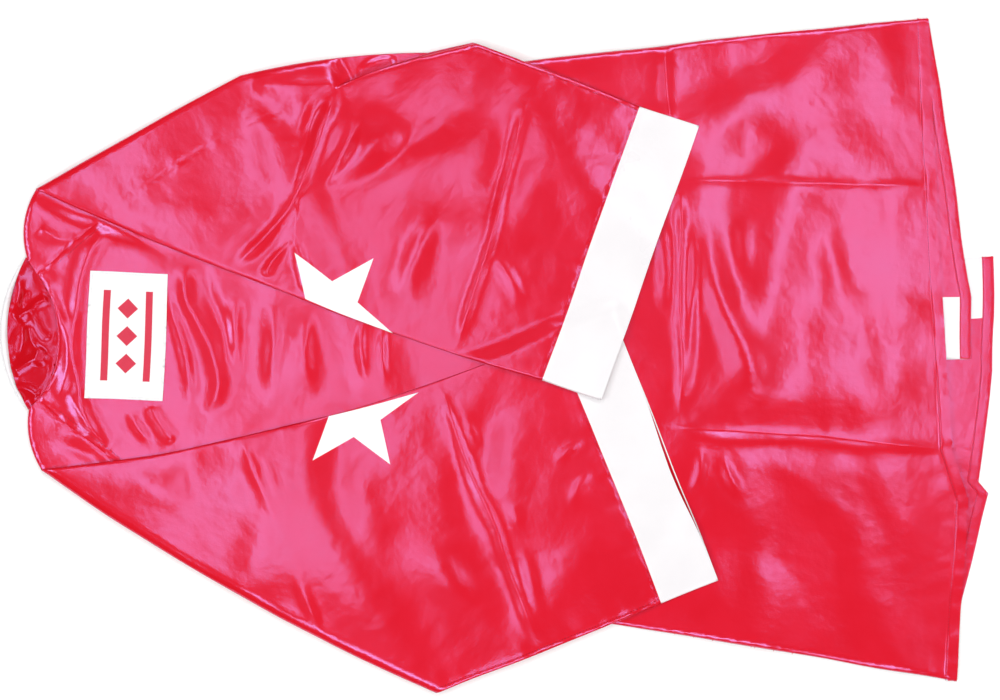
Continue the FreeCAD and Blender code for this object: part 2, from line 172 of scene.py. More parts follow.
def spaced(line, step, closed=False):
    """A line of points with more points added along its edges, at most step apart."""
    line = [np.asarray(p, float) for p in line]
    pairs = list(zip(line, line[1:] + line[:1])) if closed else list(zip(line, line[1:]))
    found = []
    for start, end in pairs:
        count = max(1, math.ceil(np.linalg.norm(end - start) / step))
        found += [start + (end - start) * k / count for k in range(count)]
    if not closed:
        found.append(line[-1])
    return np.array(found)


# --- outlines from the CAD

FACES_UP = 0.98  # the least upward part of an upward face's normal
SHARP_TURN = 12.0  # the least turn of an outline at a corner, in degrees


def loops(node):
    """The borders of a CAD node's upward faces, each as (x, y) points in order, highest first."""
    mesh = frame["nodes"][node].data
    key = {v.index: tuple(round(c, 6) for c in v.co) for v in mesh.vertices}
    faces = [[key[v] for v in p.vertices] for p in mesh.polygons if p.normal.z > FACES_UP]
    groups = []
    for face in faces:
        touching = [g for g in groups if any(p in g["points"] for p in face)]
        merged = {"points": set(face), "faces": [face]}
        for group in touching:
            merged["points"] |= group["points"]
            merged["faces"] += group["faces"]
            groups.remove(group)
        groups.append(merged)
    groups.sort(key=lambda g: -sum(p[2] for p in g["points"]) / len(g["points"]))
    return [border_of(g["faces"]) for g in groups]


def border_of(faces):
    """The points round a group of faces, in order: the sides that only one face has."""
    sides = {(a, b) for face in faces for a, b in zip(face, face[1:] + face[:1])}
    following = {a: b for a, b in sides if (b, a) not in sides}
    start = min(following)
    loop, point = [start], following[start]
    while point != start:
        loop.append(point)
        point = following[point]
    return np.array([p[:2] for p in loop])


@functools.lru_cache(None)
def outline(node):
    """The border of a CAD node's highest upward face, seen from above."""
    return loops(node)[0]


def corners(node):
    """The sharp corners of a node's outline, in order."""
    line = outline(node)
    before, after = line - np.roll(line, 1, axis=0), np.roll(line, -1, axis=0) - line
    turn = np.degrees(np.arctan2(
        before[:, 0] * after[:, 1] - before[:, 1] * after[:, 0], (before * after).sum(axis=1)
    ))
    return line[np.abs(turn) > SHARP_TURN]


def nearest_corner(node, xy):
    """The sharp corner of a node's outline nearest a point."""
    found = corners(node)
    return found[np.argmin(np.linalg.norm(found - np.asarray(xy), axis=1))]


def stretch_of(node, start, end, beside):
    """The part of a node's outline between two corners that passes nearest a point."""
    line = outline(node)
    first, last = (int(np.argmin(np.linalg.norm(line - p, axis=1))) for p in (start, end))
    forward = [line[(first + k) % len(line)] for k in range((last - first) % len(line) + 1)]
    backward = [line[(first - k) % len(line)] for k in range((first - last) % len(line) + 1)]
    near = [to_segments(np.array([beside]), run)[0][0] for run in (forward, backward)]
    return np.array(forward if near[0] < near[1] else backward)


def unit(vector):
    return vector / np.linalg.norm(vector)


def sleeve_marks(side):
    """The named corners and edges of a folded sleeve and its cuff."""
    joint = next(j for j in frame["joints"] if j["name"] == f"{side}_sleeve_fold")
    root = nearest_corner(f"{side}_sleeve", joint["pos_m"][:2])
    rest = sorted(corners(f"{side}_sleeve"), key=lambda p: np.linalg.norm(p - root))[1:]
    corner, top, under = rest
    cuff = list(corners(f"{side}_cuff"))
    mouth = sorted(cuff, key=lambda p: min(np.linalg.norm(p - top), np.linalg.norm(p - under)))[2:]
    mouth_top, mouth_under = sorted(mouth, key=lambda p: np.linalg.norm(p - top))
    marks = {
        "root": root, "corner": corner, "top": top, "under": under,
        "mouth": np.array([mouth_top, mouth_under]), "seam": np.array([under, top]),
        "underarm": np.array([corner, under]), "run": unit(corner - root),
        "inward": unit(top - under), "back": unit(top - mouth_top),
    }
    marks["fold_edge"] = stretch_of(f"{side}_sleeve", root, top, (root + top) / 2)
    return marks


MARKS = {side: sleeve_marks(side) for side in SIDES}
HEADING = {side: math.degrees(math.atan2(*MARKS[side]["run"][::-1])) for side in SIDES}


# --- triangulated areas

GRID_SEED = 41
ROW_SPACING = 0.866  # between a triangular grid's rows, as a share of its step
JITTER = 0.12  # how far a grid point may be moved, as a share of its step


def grid_points(low, high, step, seed):
    """Points of a triangular grid over a box, each moved a little at random."""
    rng = np.random.default_rng(seed)
    rows = np.arange(low[1], high[1], step * ROW_SPACING)
    columns = np.arange(low[0], high[0], step)
    x, y = np.meshgrid(columns, rows)
    x = x + (np.arange(len(rows)) % 2)[:, None] * step / 2
    points = np.stack([x.ravel(), y.ravel()], axis=1)
    return points + rng.uniform(-JITTER, JITTER, points.shape) * step


def beside(lines, offsets, step):
    """Points in rows on both sides of lines, for the close spacing that a round edge needs."""
    found = []
    for line in lines:
        line = spaced(line, step)
        run = np.gradient(line, axis=0)
        run = run / np.maximum(np.linalg.norm(run, axis=1), 1e-12)[:, None]
        across = np.stack([-run[:, 1], run[:, 0]], axis=1)
        found += [line + across * offset * sign for offset in offsets for sign in (-1, 1)]
    return np.concatenate(found) if found else np.zeros((0, 2))


def kept_points(candidates, outlines, room, rims=(), clear=0.0):
    """The candidates inside any outline that keep their distance from its border and the rims."""
    within = np.zeros(len(candidates), bool)
    for polygon in outlines:
        within |= inside(candidates, polygon)
    candidates = candidates[within]
    gap = np.full(len(candidates), np.inf)
    for polygon in outlines:
        gap = np.minimum(gap, to_segments(candidates, polygon, closed=True)[0])
    for rim in rims:
        gap = np.where(to_segments(candidates, rim)[0] < clear, 0.0, gap)
    return list(candidates[gap > room])


def patchwork(regions, step, rims=(), offsets=(0.6 * MM, 1.6 * MM, 3.2 * MM)):
    """Triangles over regions that lie side by side: their points, and each region's faces."""
    outlines = list(regions.values())
    points, edges = [], []
    for polygon in outlines:
        line = spaced(polygon, step, closed=True)
        first = len(points)
        points += list(line)
        edges += [(first + k, first + (k + 1) % len(line)) for k in range(len(line))]
    every = np.concatenate(outlines)
    close = beside(rims, offsets, step)
    inner = grid_points(every.min(axis=0), every.max(axis=0), step, GRID_SEED)
    points += kept_points(close, outlines, 0.45 * offsets[0])
    points += kept_points(inner, outlines, 0.5 * step, rims, offsets[-1] + 0.4 * step)
    out = delaunay_2d_cdt([Vector(p) for p in points], edges, [], 0, 1e-7, False)
    xy = np.array([tuple(v) for v in out[0]])
    faces = np.array([f for f in out[2] if len(f) == 3])
    middle = xy[faces].mean(axis=1)
    free = np.ones(len(faces), bool)
    found = {}
    for name, polygon in regions.items():
        here = free & inside(middle, polygon)
        found[name] = faces[here]
        free &= ~here
    return xy, found


def edge_profile(distance, reach):
    """The rounded rise of cloth from its folded edge: 0 at the edge, 1 from reach on."""
    return np.sqrt(np.maximum(1.0 - (1.0 - np.clip(distance / reach, 0, 1)) ** 2, 0.0))


def eased(z, level, distance, reach):
    """A height that is rounded down, or up, to a level at distance 0."""
    return level + (z - level) * edge_profile(distance, reach)


def nearest_of(xy, lines):
    """Distance of each point from the nearest of several lines."""
    distance = np.full(len(xy), np.inf)
    for line in lines:
        distance = np.minimum(distance, to_segments(xy, line)[0])
    return distance


def vertex_normals(points, faces):
    """The unit normal at each point, the mean of its faces' normals weighted by area."""
    a, b, c = (points[faces[:, k]] for k in range(3))
    flat = np.cross(b - a, c - a)
    total = np.zeros_like(points)
    for k in range(3):
        np.add.at(total, faces[:, k], flat)
    return total / np.maximum(np.linalg.norm(total, axis=1), 1e-18)[:, None]


def loosened(points):
    """Every piece's points shifted alike by a little, so that cut edges aren't ruler straight."""
    xy = points[:, :2]
    shift = [1.1 * MM * noise(xy, 0.055, seed) + 1.3 * MM * noise(xy, 0.15, seed + 1)
             for seed in (301, 307)]
    return points + np.column_stack([*shift, np.zeros(len(points))])


def placed(name, data):
    """An object in the scene that shows some data."""
    made = bpy.data.objects.new(name, data)
    bpy.context.collection.objects.link(made)
    return made


def new_object(name, points, faces, normals=None):
    """A smooth-shaded mesh object from arrays, keeping only the points that faces use."""
    points = loosened(np.asarray(points, float))
    used, compact = np.unique(faces, return_inverse=True)
    faces = compact.reshape(faces.shape)
    mesh = bpy.data.meshes.new(name)
    mesh.from_pydata(points[used].tolist(), [], faces.tolist())
    mesh.polygons.foreach_set("use_smooth", np.ones(len(faces), bool))
    mesh.update()
    if normals is not None:
        mesh.normals_split_custom_set_from_vertices(normals[used].tolist())
    return placed(name, mesh)


def with_height(xy, z):
    return np.column_stack([xy, z])


def upward(points, faces):
    """The same faces, each wound so that it faces up."""
    a, b, c = (points[faces[:, k]] for k in range(3))
    down = np.cross(b - a, c - a)[:, 2] < 0
    faces = faces.copy()
    faces[down] = faces[down][:, ::-1]
    return faces


def tube(name, xy, faces, top, bottom, rims, normals=None, pull=0.0):
    """A flat tube: an upper and a lower sheet, joined along its rims and open elsewhere.

    The upper sheet takes the given normals, which it shares with its neighbours; pull moves it.
    """
    upper, lower = with_height(xy + pull, top), with_height(xy, bottom)
    faces = upward(upper, faces)
    shared = nearest_of(xy, rims) < SAME_PLACE
    count = len(xy)
    below = np.where(shared, np.arange(count), np.arange(count) + count)
    points = np.concatenate([upper, lower])
    points[:count, 2] = np.where(shared, (top + bottom) / 2, top)
    joined = np.concatenate([faces, below[faces[:, ::-1]]])
    if normals is None:
        return new_object(name, points, joined)
    own = vertex_normals(points, joined)
    own[:count] = np.where(shared[:, None], own[:count], normals)
    return new_object(name, points, joined, own)


# --- simulated slack cloth

SLACK_STEP = 9 * MM
SLACK_CELLS = (145, 105)
SLACK_GROWTH = 0.007
SLACK_FRAMES = 40


def slack_grid():
    """A flat sheet a little above the floor, pinned at its border, as a mesh object."""
    nx, ny = SLACK_CELLS
    x, y = np.meshgrid(np.arange(nx) * SLACK_STEP, np.arange(ny) * SLACK_STEP, indexing="ij")
    xy = np.stack([x.ravel(), y.ravel()], axis=1)
    lift = 4 + 1.2 * noise(xy, 0.06, 201) + 1.2 * noise(xy, 0.12, 202) + noise(xy, 0.24, 203)
    index = np.arange(nx * ny).reshape(nx, ny)
    squares = [index[:-1, :-1], index[1:, :-1], index[1:, 1:], index[:-1, 1:]]
    faces = np.stack(squares, axis=-1).reshape(-1, 4)
    sheet = new_object("slack_sheet", with_height(xy, lift * MM), faces)
    border = np.concatenate([index[0], index[-1], index[:, 0], index[:, -1]])
    sheet.vertex_groups.new(name="pinned").add(border.tolist(), 1.0, "ADD")
    return sheet


def let_cloth_buckle(sheet):
    """Lets a pinned sheet grow slightly, so that it buckles into long ridges as it settles."""
    modifier = sheet.modifiers.new("cloth", "CLOTH")
    settings = modifier.settings
    settings.quality = 5
    settings.mass = 0.1
    settings.tension_stiffness = settings.compression_stiffness = 15
    settings.shear_stiffness = 6
    settings.bending_stiffness = 14
    settings.vertex_group_mass = "pinned"
    settings.shrink_min = settings.shrink_max = -SLACK_GROWTH
    settings.effector_weights.gravity = 0.3
    modifier.collision_settings.distance_min = 1 * MM
    modifier.point_cache.frame_end = SLACK_FRAMES
    for step in range(1, SLACK_FRAMES + 1):
        bpy.context.scene.frame_set(step)
    settled = sheet.evaluated_get(bpy.context.evaluated_depsgraph_get()).data
    heights = np.array([v.co.z for v in settled.vertices]).reshape(SLACK_CELLS)
    bpy.context.scene.frame_set(1)
    return heights


def slack_heights():
    """Heights of slack cloth that has settled on a floor, about their mean, as a table."""
    sheet = slack_grid()
    ground = new_object("slack_floor", np.array([(-1, -1, 0), (3, -1, 0), (3, 3, 0), (-1, 3, 0)]),
                        np.array([(0, 1, 2, 3)]))
    ground.modifiers.new("solid", "COLLISION")
    ground.collision.thickness_outer = 1 * MM
    heights = let_cloth_buckle(sheet)
    for helper in (sheet, ground):
        bpy.data.objects.remove(helper)
    level = (heights - heights.mean()) * np.outer(
        *(np.sin(np.linspace(0, np.pi, n)) ** 0.3 for n in SLACK_CELLS))
    return np.block([[level, level[:, ::-1]], [level[::-1], level[::-1, ::-1]]])


SLACK = slack_heights()


def slack(xy, degrees=0.0, start=(0.65, 0.45)):
    """The slack sheet's height under each point, with the sheet turned and shifted."""
    return read_table(SLACK, (turned(xy, degrees) + np.array(start)) / SLACK_STEP)


# --- wrinkles

# Each crease: kind, its line in millimetres, its half width and its height in millimetres.
BODY_CREASES = [
    ("fold", [(225, 226), (400, 224), (576, 223)], 3.2, 1.2),
    ("fold", [(200, -90), (393, -103), (592, -122)], 3.6, 1.5),
    ("valley", [(205, -108), (393, -121), (585, -140)], 16, 1.4),
    ("fold", [(219, 405), (222, 342), (227, 300)], 5, 2.0),
    ("fold", [(238, 220), (241, 169), (235, 90), (241, -4), (238, -80)], 4, 2.4),
    ("ridge", [(250, 205), (256, 120), (250, 20), (245, -90)], 7, 1.8),
    ("ridge", [(214, 190), (220, 110), (214, 40)], 10, 1.8),
    ("ridge", [(263, 185), (280, 110), (292, 74), (336, -36), (350, -80)], 20, 4.4),
    ("ridge", [(318, 190), (322, 120), (330, 90)], 14, 1.6),
    ("ridge", [(430, 190), (440, 120), (462, 40)], 18, 1.8),
    ("valley", [(300, 320), (350, 270), (372, 235)], 26, 3.0),
    ("ridge", [(262, -110), (268, -150), (250, -190)], 7, 1.8),
    ("ridge", [(290, -120), (300, -160), (322, -190)], 7, 1.6),
    ("valley", [(290, -245), (390, -255), (480, -245)], 40, 3.0),
    ("fold", [(-492, 172), (-527, 144), (-542, 104), (-547, 55), (-552, -8), (-537, -82),
              (-512, -120)], 6, 2.6),
    ("fold", [(-595, 95), (-573, 67), (-556, 30), (-560, -30), (-575, -60)], 5, 2.2),
    ("fold", [(-403, 125), (-410, 80), (-388, 35), (-366, -8), (-361, -45), (-380, -80)], 7, 2.6),
    ("ridge", [(-422, 110), (-428, 70), (-408, 10), (-398, -40), (-405, -80)], 7, 1.8),
    ("valley", [(-385, 120), (-374, 70), (-352, 20), (-340, -40)], 9, 1.8),
    ("fold", [(-453, -65), (-435, -95), (-420, -112)], 5, 1.8),
    ("ridge", [(-480, -70), (-470, -95), (-445, -118)], 6, 1.5),
    ("fold", [(-560, -45), (-537, -82), (-508, -120)], 5, 1.8),
    ("ridge", [(-341, 92), (-345, 30), (-338, -40)], 9, 2.0),
    ("ridge", [(-172, 60), (-178, 10), (-170, -40)], 5, 1.7),
    ("ridge", [(-146, 50), (-150, 0), (-142, -40)], 5, 1.7),
    ("ridge", [(-300, 80), (-290, 20), (-300, -60)], 10, 1.6),
    ("ridge", [(-240, 70), (-252, 0), (-238, -60)], 9, 1.5),
    ("ridge", [(-262, 75), (-268, 0), (-262, -70)], 42, 3.4),
    ("valley", [(-650, 250), (-570, 203), (-500, 172), (-400, 124)], 13, 5.0),
    ("fold", [(-596, 170), (-570, 150), (-545, 152)], 5, 1.6),
    ("valley", [(-585, -110), (-540, -120), (-500, -150)], 9, 1.6),
]
RIGHT_CREASES = [
    ("fold", [(55, 365), (42, 325), (29, 294), (8, 225), (-10, 151), (-30, 85), (-55, 8)], 4, 2.6),
    ("valley", [(20, 340), (5, 250), (-22, 160)], 16, 1.4),
    ("fold", [(-203, 351), (-219, 321), (-237, 261), (-258, 205), (-297, 154), (-348, 112)], 5, 3.6),
    ("valley", [(-226, 345), (-244, 300), (-250, 262)], 9, 3.0),
    ("fold", [(-258, 205), (-264, 154), (-255, 112), (-249, 73)], 4, 3.0),
    ("fold", [(-264, 151), (-297, 118), (-303, 100)], 4, 2.2),
    ("fold", [(-255, 192), (-246, 142), (-240, 88)], 4, 2.2),
    ("valley", [(-178, 325), (-195, 268), (-238, 200)], 8, 2.6),
    ("valley", [(-238, 200), (-193, 220), (-118, 268), (-43, 336)], 16, 3.2),
    ("fold", [(-322, 351), (-262, 354), (-198, 355)], 7, 1.6),
    ("ridge", [(-150, 330), (-160, 280), (-200, 240)], 22, 2.0),
    ("ridge", [(-70, 200), (-110, 130), (-130, 60)], 16, 3.0),
    ("valley", [(-400, 290), (-375, 250), (-360, 235)], 18, 2.6),
    ("ridge", [(-545, 190), (-440, 200), (-360, 190)], 26, 1.8),
    ("ridge", [(-20, 130), (20, 100), (30, 60)], 9, 1.8),
]
LEFT_CREASES = [
    ("fold", [(-74, -35), (-58, -81), (-45, -126), (-28, -168), (-3, -213), (13, -276), (38, -338),
              (54, -384)], 5, 3.0),
    ("ridge", [(-48, -40), (-34, -90), (-24, -140)], 10, 2.2),
    ("ridge", [(20, -230), (36, -270), (44, -310), (62, -360)], 9, 1.8),
    ("valley", [(-90, -60), (-72, -130), (-40, -200), (-8, -290)], 16, 1.6),
    ("ridge", [(12, -186), (26, -206), (20, -232)], 9, 1.4),
    ("fold", [(-335, -110), (-315, -156), (-290, -205), (-261, -267), (-248, -313),
              (-227, -363)], 4, 3.0),
    ("ridge", [(-312, -106), (-300, -143), (-280, -197), (-258, -250)], 6, 1.6),
    ("ridge", [(-200, -120), (-170, -200), (-150, -280)], 24, 2.4),
    ("ridge", [(-100, -230), (-60, -290), (-20, -330)], 20, 2.2),
    ("ridge", [(120, -110), (95, -125), (70, -140)], 7, 1.6),
    ("ridge", [(128, -150), (105, -170), (92, -200)], 7, 1.6),
    ("ridge", [(-520, -160), (-430, -175), (-380, -200)], 18, 1.6),
]
LINING_CREASES = [
    ("valley", [(-620, 112), (-627, 80), (-626, 52)], 8, 6.5),
    ("valley", [(-608, 48), (-622, 20), (-626, -14)], 9, 6.5),
    ("valley", [(-626, -44), (-617, -56), (-612, -62)], 5, 4.0),
    ("fold", [(-580, 78), (-604, 64), (-624, 46)], 5, 4.4),
    ("fold", [(-607, 66), (-598, 47), (-590, 30), (-578, 20)], 4, 3.0),
    ("ridge", [(-611, 90), (-614, 76), (-617, 60)], 5, 3.6),
    ("fold", [(-610, 44), (-604, 22), (-594, 8), (-588, 0), (-596, -16)], 5, 3.6),
    ("fold", [(-584, 8), (-606, -9), (-630, -22)], 5, 4.4),
    ("fold", [(-630, -40), (-612, -41), (-601, -48), (-592, -57)], 4, 3.4),
]
CREASES = {"right": RIGHT_CREASES, "left": LEFT_CREASES}
WAVINESS = 2.2 * MM


def curved(line):
    """A crease's few points in millimetres as a smooth, slightly wavy line in metres."""
    line = np.array(line) * MM
    for _ in range(2):
        starts, ends = line[:-1], line[1:]
        cut = np.stack([0.75 * starts + 0.25 * ends, 0.25 * starts + 0.75 * ends], axis=1)
        line = np.concatenate([line[:1], cut.reshape(-1, 2), line[-1:]])
    return warped(line, 50 * MM, WAVINESS, 181)


def fold_lines(strokes):
    """The lines of the sharp creases, which need closely spaced points beside them."""
    return [curved(line) for kind, line, _, _ in strokes if kind == "fold"]


def creases(xy, strokes):
    """The height that a list of creases adds."""
    total = np.zeros(len(xy))
    for kind, line, width, height in strokes:
        line = curved(line)
        width = width * MM
        near = np.all((xy > line.min(axis=0) - 6 * width) & (xy < line.max(axis=0) + 6 * width),
                      axis=1)
        distance, _, along = to_segments(xy[near], line)
        fade = 0.16 if kind == "fold" else 0.45
        ends = smooth(along / fade) * smooth((1 - along) / fade)
        reach = distance / width
        if kind == "fold":
            shape = np.exp(1 - np.sqrt(1 + reach * reach))
        else:
            shape = np.exp(-reach * reach) * (-1 if kind == "valley" else 1)
        total[near] += height * MM * ends * shape
    return total


def ripples(xy, seed, size=1.0, heading=0.0):
    """The soft uneven surface of satin that has been folded and handled."""
    bent = warped(xy, 0.12, 0.035, seed + 5)
    lengthwise = turned(bent, heading, 2.4)
    mask = smooth(0.45 + 0.9 * noise(xy, 0.10, seed + 12))
    total = 2.6 * noise(bent, 0.15, seed) + 2.2 * noise(lengthwise, 0.062, seed + 1)
    total += 0.75 * mask * noise(lengthwise, 0.030, seed + 3)
    total += 0.14 * noise(bent, 0.017, seed + 4)
    return (total * MM + 0.42 * slack(xy / 1.45, 19.0 * seed)) * size


def groove(distance, depth, width, at=0.0):
    """The narrow dip that a seam or a row of stitching presses into cloth."""
    return -depth * np.exp(-((distance - at) / width) ** 2)


def puckers(xy, line, reach, size, spacing, seed):
    """The small gathers that a row of stitching draws up beside it."""
    distance, _, along = to_segments(xy, line)
    length = np.linalg.norm(np.diff(line, axis=0), axis=1).sum()
    run = np.stack([along * length, distance * 0.35], axis=1)
    return size * noise(run, spacing, seed) * np.exp(-distance / reach)


# --- the layers' heights


def higher(a, b, soft=1.0 * MM):
    """The larger of two heights, with a soft change from one to the other."""
    return 0.5 * (a + b + np.sqrt((a - b) ** 2 + soft * soft))


def back_corner(x, y):
    """The corner of the back panel nearest a point."""
    return nearest_corner("back_panel", (x, y))


def back_edge(start, end, x, y):
    """The back panel's outline from corner to corner, on the way past a point."""
    return stretch_of("back_panel", start, end, (x, y))


HEM_START, HEM_END = back_corner(0.560, 0.439), back_corner(0.597, -0.423)
ARMPIT = {"right": back_corner(-0.201, 0.3515), "left": back_corner(-0.205, -0.298)}
NECK = {"right": back_corner(-0.596, 0.107), "left": back_corner(-0.595, -0.057)}
HEM_LINE = back_edge(HEM_START, HEM_END, 0.600, -0.1)
HEM_WIDTH = 15 * MM
HEM_RAISE = 0.75 * MM
HEM_ROW = 14.5 * MM  # from a hem's edge to its stitching
NECKLINE = back_edge(NECK["right"], NECK["left"], -0.569, 0.025)
SIDE_LINE = {
    "right": back_edge(ARMPIT["right"], HEM_START, 0.081, 0.389),
    "left": back_edge(ARMPIT["left"], HEM_END, 0.159, -0.350),
}
RAGLAN = {
    "right": back_edge(NECK["right"], ARMPIT["right"], -0.412, 0.251),
    "left": back_edge(NECK["left"], ARMPIT["left"], -0.411, -0.196),
}


def cap_rim(side):
    """A shoulder cap's free borders: its neck edge, and on the left its edge at the armpit."""
    marks = MARKS[side]
    name = f"{side}_shoulder_cap"
    band = outline("collar_band")
    collar = nearest_corner(name, band[np.argmin(np.linalg.norm(band - marks["root"], axis=1))])
    lines = [stretch_of(name, collar, marks["root"], (collar + marks["root"]) / 2)]
    if side == "left":
        between = (marks["corner"] + ARMPIT[side]) / 2
        lines.append(stretch_of(name, marks["corner"], ARMPIT[side], between))
    return lines


BODY_RIMS = [*SIDE_LINE.values(), *cap_rim("right"), *cap_rim("left")]


def body_top(xy):
    """The upper surface of the back panel and the shoulder caps."""
    z = BACK + ripples(xy, 11, 0.9, 96) + creases(xy, BODY_CREASES)
    for side, seed in (("right", 61), ("left", 67)):
        seam = RAGLAN[side]
        z += puckers(xy, seam, 14 * MM, 0.9 * MM, 11 * MM, seed)
        z += groove(to_segments(xy, seam)[0], 0.9 * MM, 1.3 * MM)
    z += puckers(xy, NECKLINE, 18 * MM, 1.5 * MM, 11 * MM, 71)
    z += groove(to_segments(xy, NECKLINE)[0], 1.2 * MM, 0.9 * MM, at=1.2 * MM)
    to_hem = to_segments(xy, HEM_LINE)[0]
    z += puckers(xy, HEM_LINE, 22 * MM, 0.6 * MM, 9 * MM, 73)
    z -= 2.4 * MM * (1 - smooth(to_hem / (75 * MM)))
    z -= 0.7 * MM * smooth((to_hem - HEM_WIDTH + 1 * MM) / (1.5 * MM))
    z += groove(to_hem, 0.7 * MM, 1.3 * MM, at=HEM_WIDTH)
    z = higher(z, np.full(len(xy), RIGHT_FRONT + 1.3 * MM))
    return eased(z, EDGE_LEVEL, nearest_of(xy, BODY_RIMS), 6 * MM)


def sleeve_area(side):
    """The outline of a folded sleeve with its cuff."""
    marks = MARKS[side]
    return np.concatenate([marks["fold_edge"], marks["mouth"], marks["underarm"][::-1]])


LEFT_AREA = sleeve_area("left")
LEFT_LIFT = 4.6 * MM  # what the left sleeve adds to the height of the right one over it


def sleeve_rims(side):
    """The two folded edges along a sleeve and its cuff."""
    marks = MARKS[side]
    top_fold = np.concatenate([marks["fold_edge"], marks["mouth"][:1]])
    return [top_fold, np.concatenate([marks["underarm"], marks["mouth"][1:]])]


def left_bottom(xy):
    return body_top(xy) + CLOTH


def left_top(xy):
    relief = ripples(xy, 23, 0.95, 110) + creases(xy, CREASES["left"])
    z = LEFT_SLEEVE + relief + seam_detail(xy, "left", 83)
    z = higher(z, left_bottom(xy) + CLOTH)
    return rounded(xy, z, left_bottom(xy), "left")


def seam_detail(xy, side, seed):
    """The groove and gathers at a cuff's seam, and the thicker seam along the underarm."""
    seam, underarm = MARKS[side]["seam"], MARKS[side]["underarm"]
    z = puckers(xy, seam, 12 * MM, 0.8 * MM, 9 * MM, seed)
    z += groove(to_segments(xy, seam)[0], 0.8 * MM, 1.2 * MM)
    z += puckers(xy, underarm, 16 * MM, 1.0 * MM, 10 * MM, seed + 1)
    return z + 0.5 * MM * (1 - smooth((to_segments(xy, underarm)[0] - 7 * MM) / (1.2 * MM)))


def from_fold(xy, side):
    """Distance of each point from a sleeve's fold line, which is its joint's axis."""
    run = MARKS[side]["run"]
    return np.abs((xy - MARKS[side]["root"]) @ np.array([-run[1], run[0]]))


def fold_contour(side):
    """The outer border of the slack roll beside a sleeve's fold line."""
    line = outline(f"{side}_shoulder_fold")
    marks = MARKS[side]
    kept = line[from_fold(line, side) > ON_LINE]
    middle = kept[np.argsort((kept - marks["root"]) @ marks["run"])]
    return np.concatenate([[marks["root"]], middle, [marks["corner"]]])


# The greatest height of a sleeve at its fold line, and how fast it may rise away from there.
FOLD_LIMIT = 17.0 * MM
LIMIT_RISE = {"right": 0.017, "left": 0.0}
FOLD_REACH = {"right": 9 * MM, "left": 15 * MM}


def below_limit(xy, z, side):
    """Keeps a sleeve's upper sheet low enough to clear the floor once the sleeve is turned out."""
    limit = FOLD_LIMIT + LIMIT_RISE[side] * from_fold(xy, side)
    return -higher(-z, -limit, 1.2 * MM)


def rounded(xy, z, bottom, side):
    """Rolls an upper sheet down to its folded edges, and over the shoulder's slack roll."""
    z = below_limit(xy, z, side)
    z = eased(z, (z + bottom) / 2, nearest_of(xy, sleeve_rims(side)), EDGE_REACH)
    return eased(z, ROLL_LEVEL, to_segments(xy, fold_contour(side))[0], FOLD_REACH[side])


# The edge of the right sleeve's upper cloth at the armpit; the cloth beyond it lies lower.
UPPER_EDGE = np.array([(-214, 346), (-201, 354), (-175, 366), (-146, 376), (-94, 391),
                       (-25, 407)]) * MM
ARMPIT_POCKET = [("valley", [(-182, 366), (-158, 377), (-128, 388)], 7, 7.0)]


def armpit_layers(xy, z):
    """Drops the slack cloth beyond the upper cloth's edge, and rounds that edge."""
    distance, side, along = to_segments(xy, UPPER_EDGE)
    beyond = (side > 0) & (along > 0) & (along < 1)
    ends = smooth(along / 0.15) * smooth((1 - along) / 0.15)
    upper = z - 2.2 * MM * ends * (1 - edge_profile(distance, 7 * MM))
    pocket = creases(xy, ARMPIT_POCKET)
    swell = 1.6 * MM * noise(turned(xy, 20, 1.6), 0.035, 35)
    lower = np.minimum(z, 3.4 * MM + 0.11 * distance + swell + 0.3 * ripples(xy, 33) + pocket)
    lower = z + (lower - z) * ends
    return np.where(beyond, np.maximum(lower, 0.8 * MM), upper)


def over_left(xy):
    """How far the left sleeve lifts whatever lies on it: 1 well inside it, 0 outside."""
    return smooth((depth_inside(xy, LEFT_AREA) + 26 * MM) / (30 * MM))


def right_bottom(xy):
    on_left = left_top(xy) - (1 - over_left(xy)) * 12 * MM
    return higher(body_top(xy), on_left, 2 * MM) + CLOTH


def right_top(xy):
    relief = ripples(xy, 37, 0.95, 70) + creases(xy, CREASES["right"])
    z = RIGHT_SLEEVE + relief + seam_detail(xy, "right", 87) + LEFT_LIFT * over_left(xy)
    bottom = right_bottom(xy)
    z = higher(z, bottom + CLOTH)
    return armpit_layers(xy, rounded(xy, z, bottom, "right"))


TOP = {"right": right_top, "left": left_top}
BOTTOM = {"right": right_bottom, "left": left_bottom}


# --- materials


PINK_SHINE = (0.34, 0.42, 1.0)


def socket(shader, **values):
    for name, value in values.items():
        shader.inputs[name.replace("_", " ")].default_value = value


def new_material(name):
    material = bpy.data.materials.new(name)
    material.use_nodes = True
    return material, material.node_tree, material.node_tree.nodes["Principled BSDF"]


def node(tree, kind, **inputs):
    made = tree.nodes.new(kind)
    socket(made, **inputs)
    return made


def join(output, into, name):
    """Links an output to a node's input."""
    into.id_data.links.new(output, into.inputs[name])


def mapped(tree, heading=0.0, scale=(1.0, 1.0, 1.0)):
    """Object coordinates turned to the cloth's own direction."""
    place = node(tree, "ShaderNodeTexCoord")
    mapping = node(tree, "ShaderNodeMapping", Rotation=(0, 0, math.radians(-heading)), Scale=scale)
    join(place.outputs["Object"], mapping, "Vector")
    return mapping.outputs["Vector"]


def colour_mix(tree, factor, first, second):
    mix = node(tree, "ShaderNodeMix")
    mix.data_type = "RGBA"
    join(factor, mix, "Factor")
    mix.inputs["A"].default_value = (*first, 1)
    mix.inputs["B"].default_value = (*second, 1)
    return mix.outputs["Result"]


def ranged(tree, value, low, high):
    span = node(tree, "ShaderNodeMapRange", To_Min=low, To_Max=high)
    join(value, span, "Value")
    return span.outputs["Result"]


